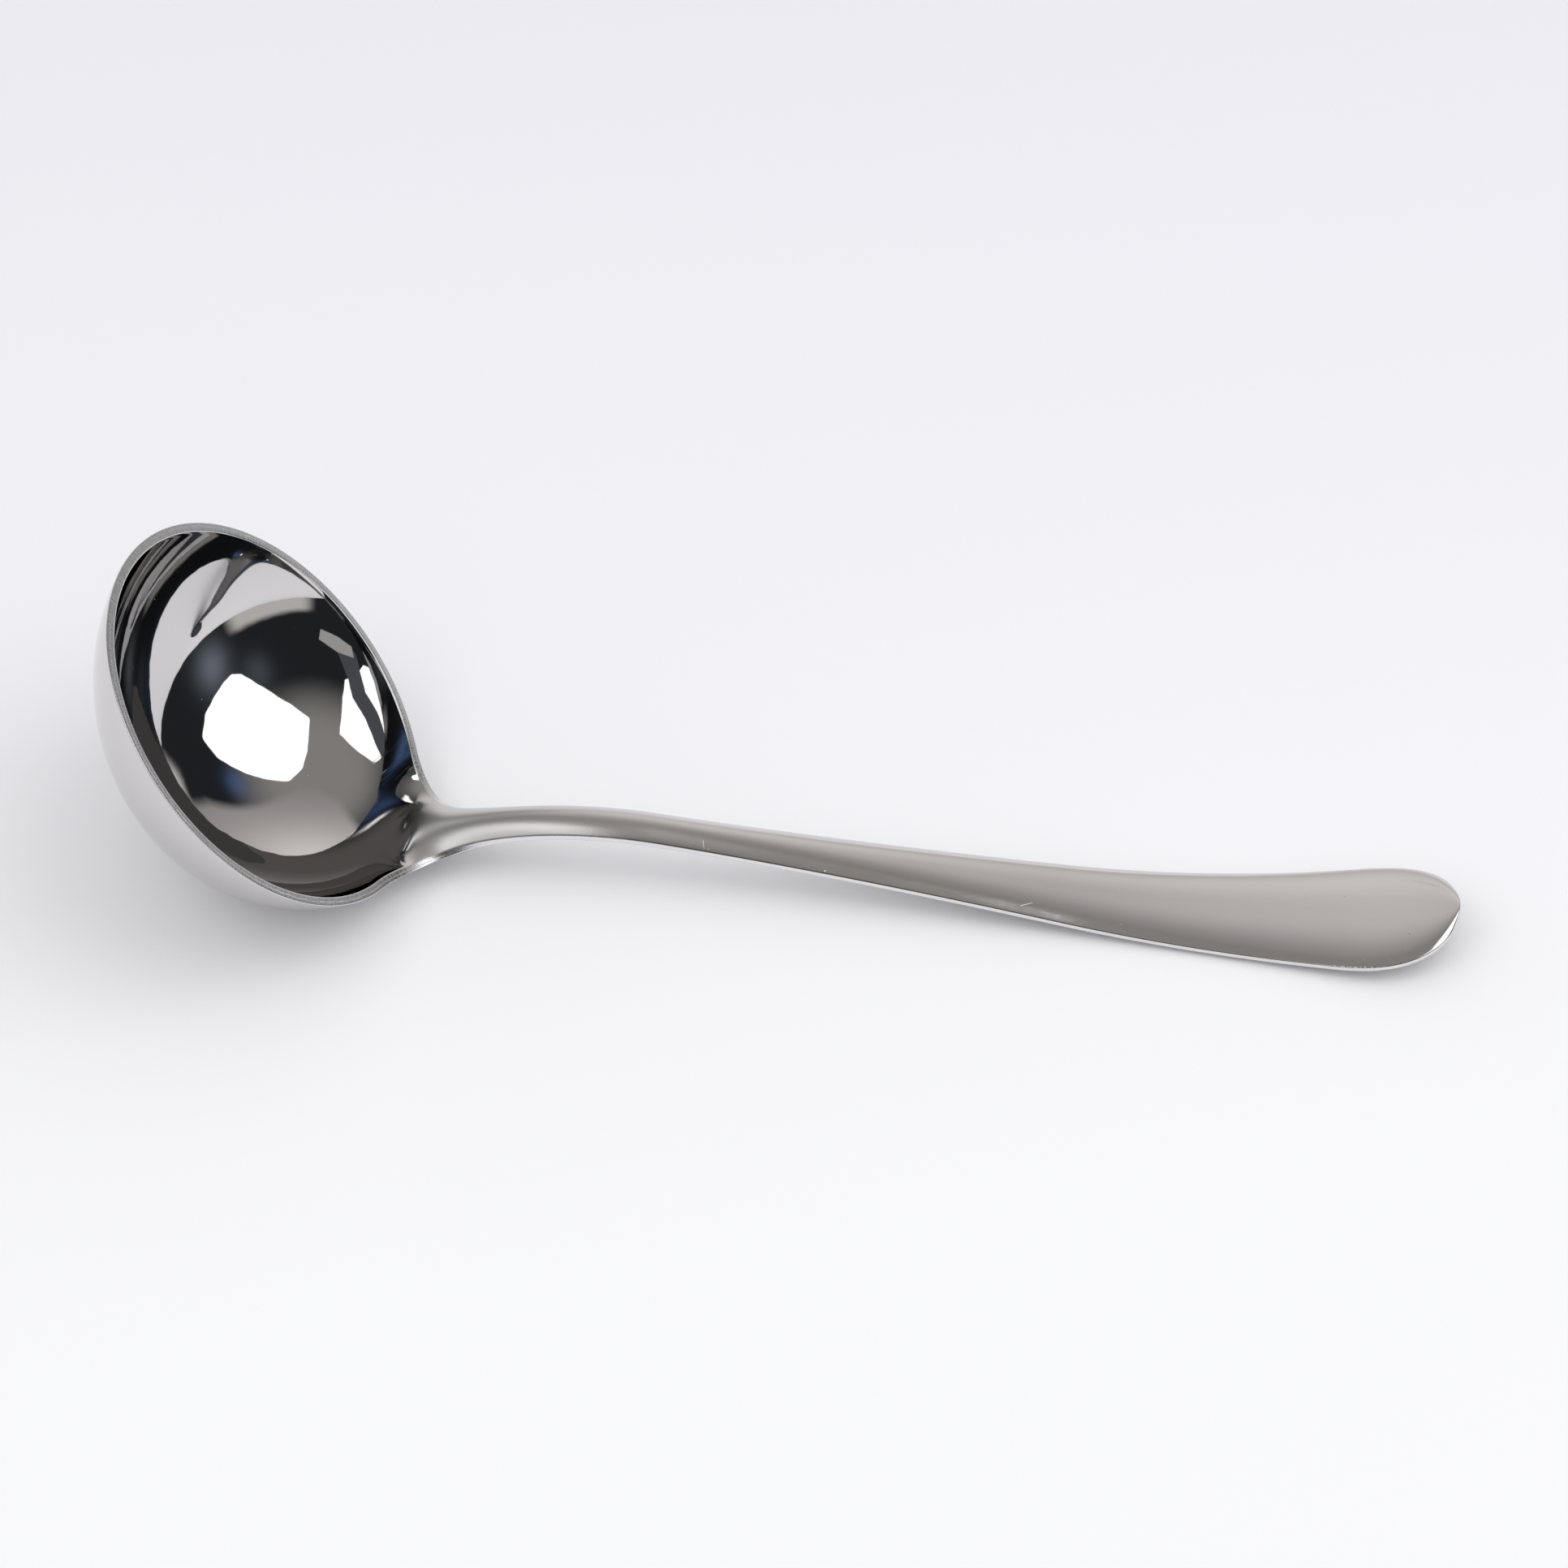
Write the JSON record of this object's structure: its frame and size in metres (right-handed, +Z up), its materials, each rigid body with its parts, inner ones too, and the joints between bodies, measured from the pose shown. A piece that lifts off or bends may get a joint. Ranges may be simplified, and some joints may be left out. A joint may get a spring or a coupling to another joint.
{
  "type": "gravy ladle",
  "caption": "One-piece polished steel gravy ladle: an oval dished bowl with a ground rim, an arched neck and a crowned, flared handle.",
  "frame": {"origin": "on the table under the middle of the whole length, with the ladle lying as it comes to rest", "axes": "+X from the bowl to the handle's round end, +Z up, and the ladle is mirror-symmetric about Y = 0"},
  "size_m": [0.1895, 0.062, 0.0451],
  "materials": {
    "polished_steel": "mirror-polished stainless steel bowl, ground rim, fine satin along the handle"
  },
  "bodies": {
    "root": {"ladle": "polished_steel"}
  },
  "joints": []
}
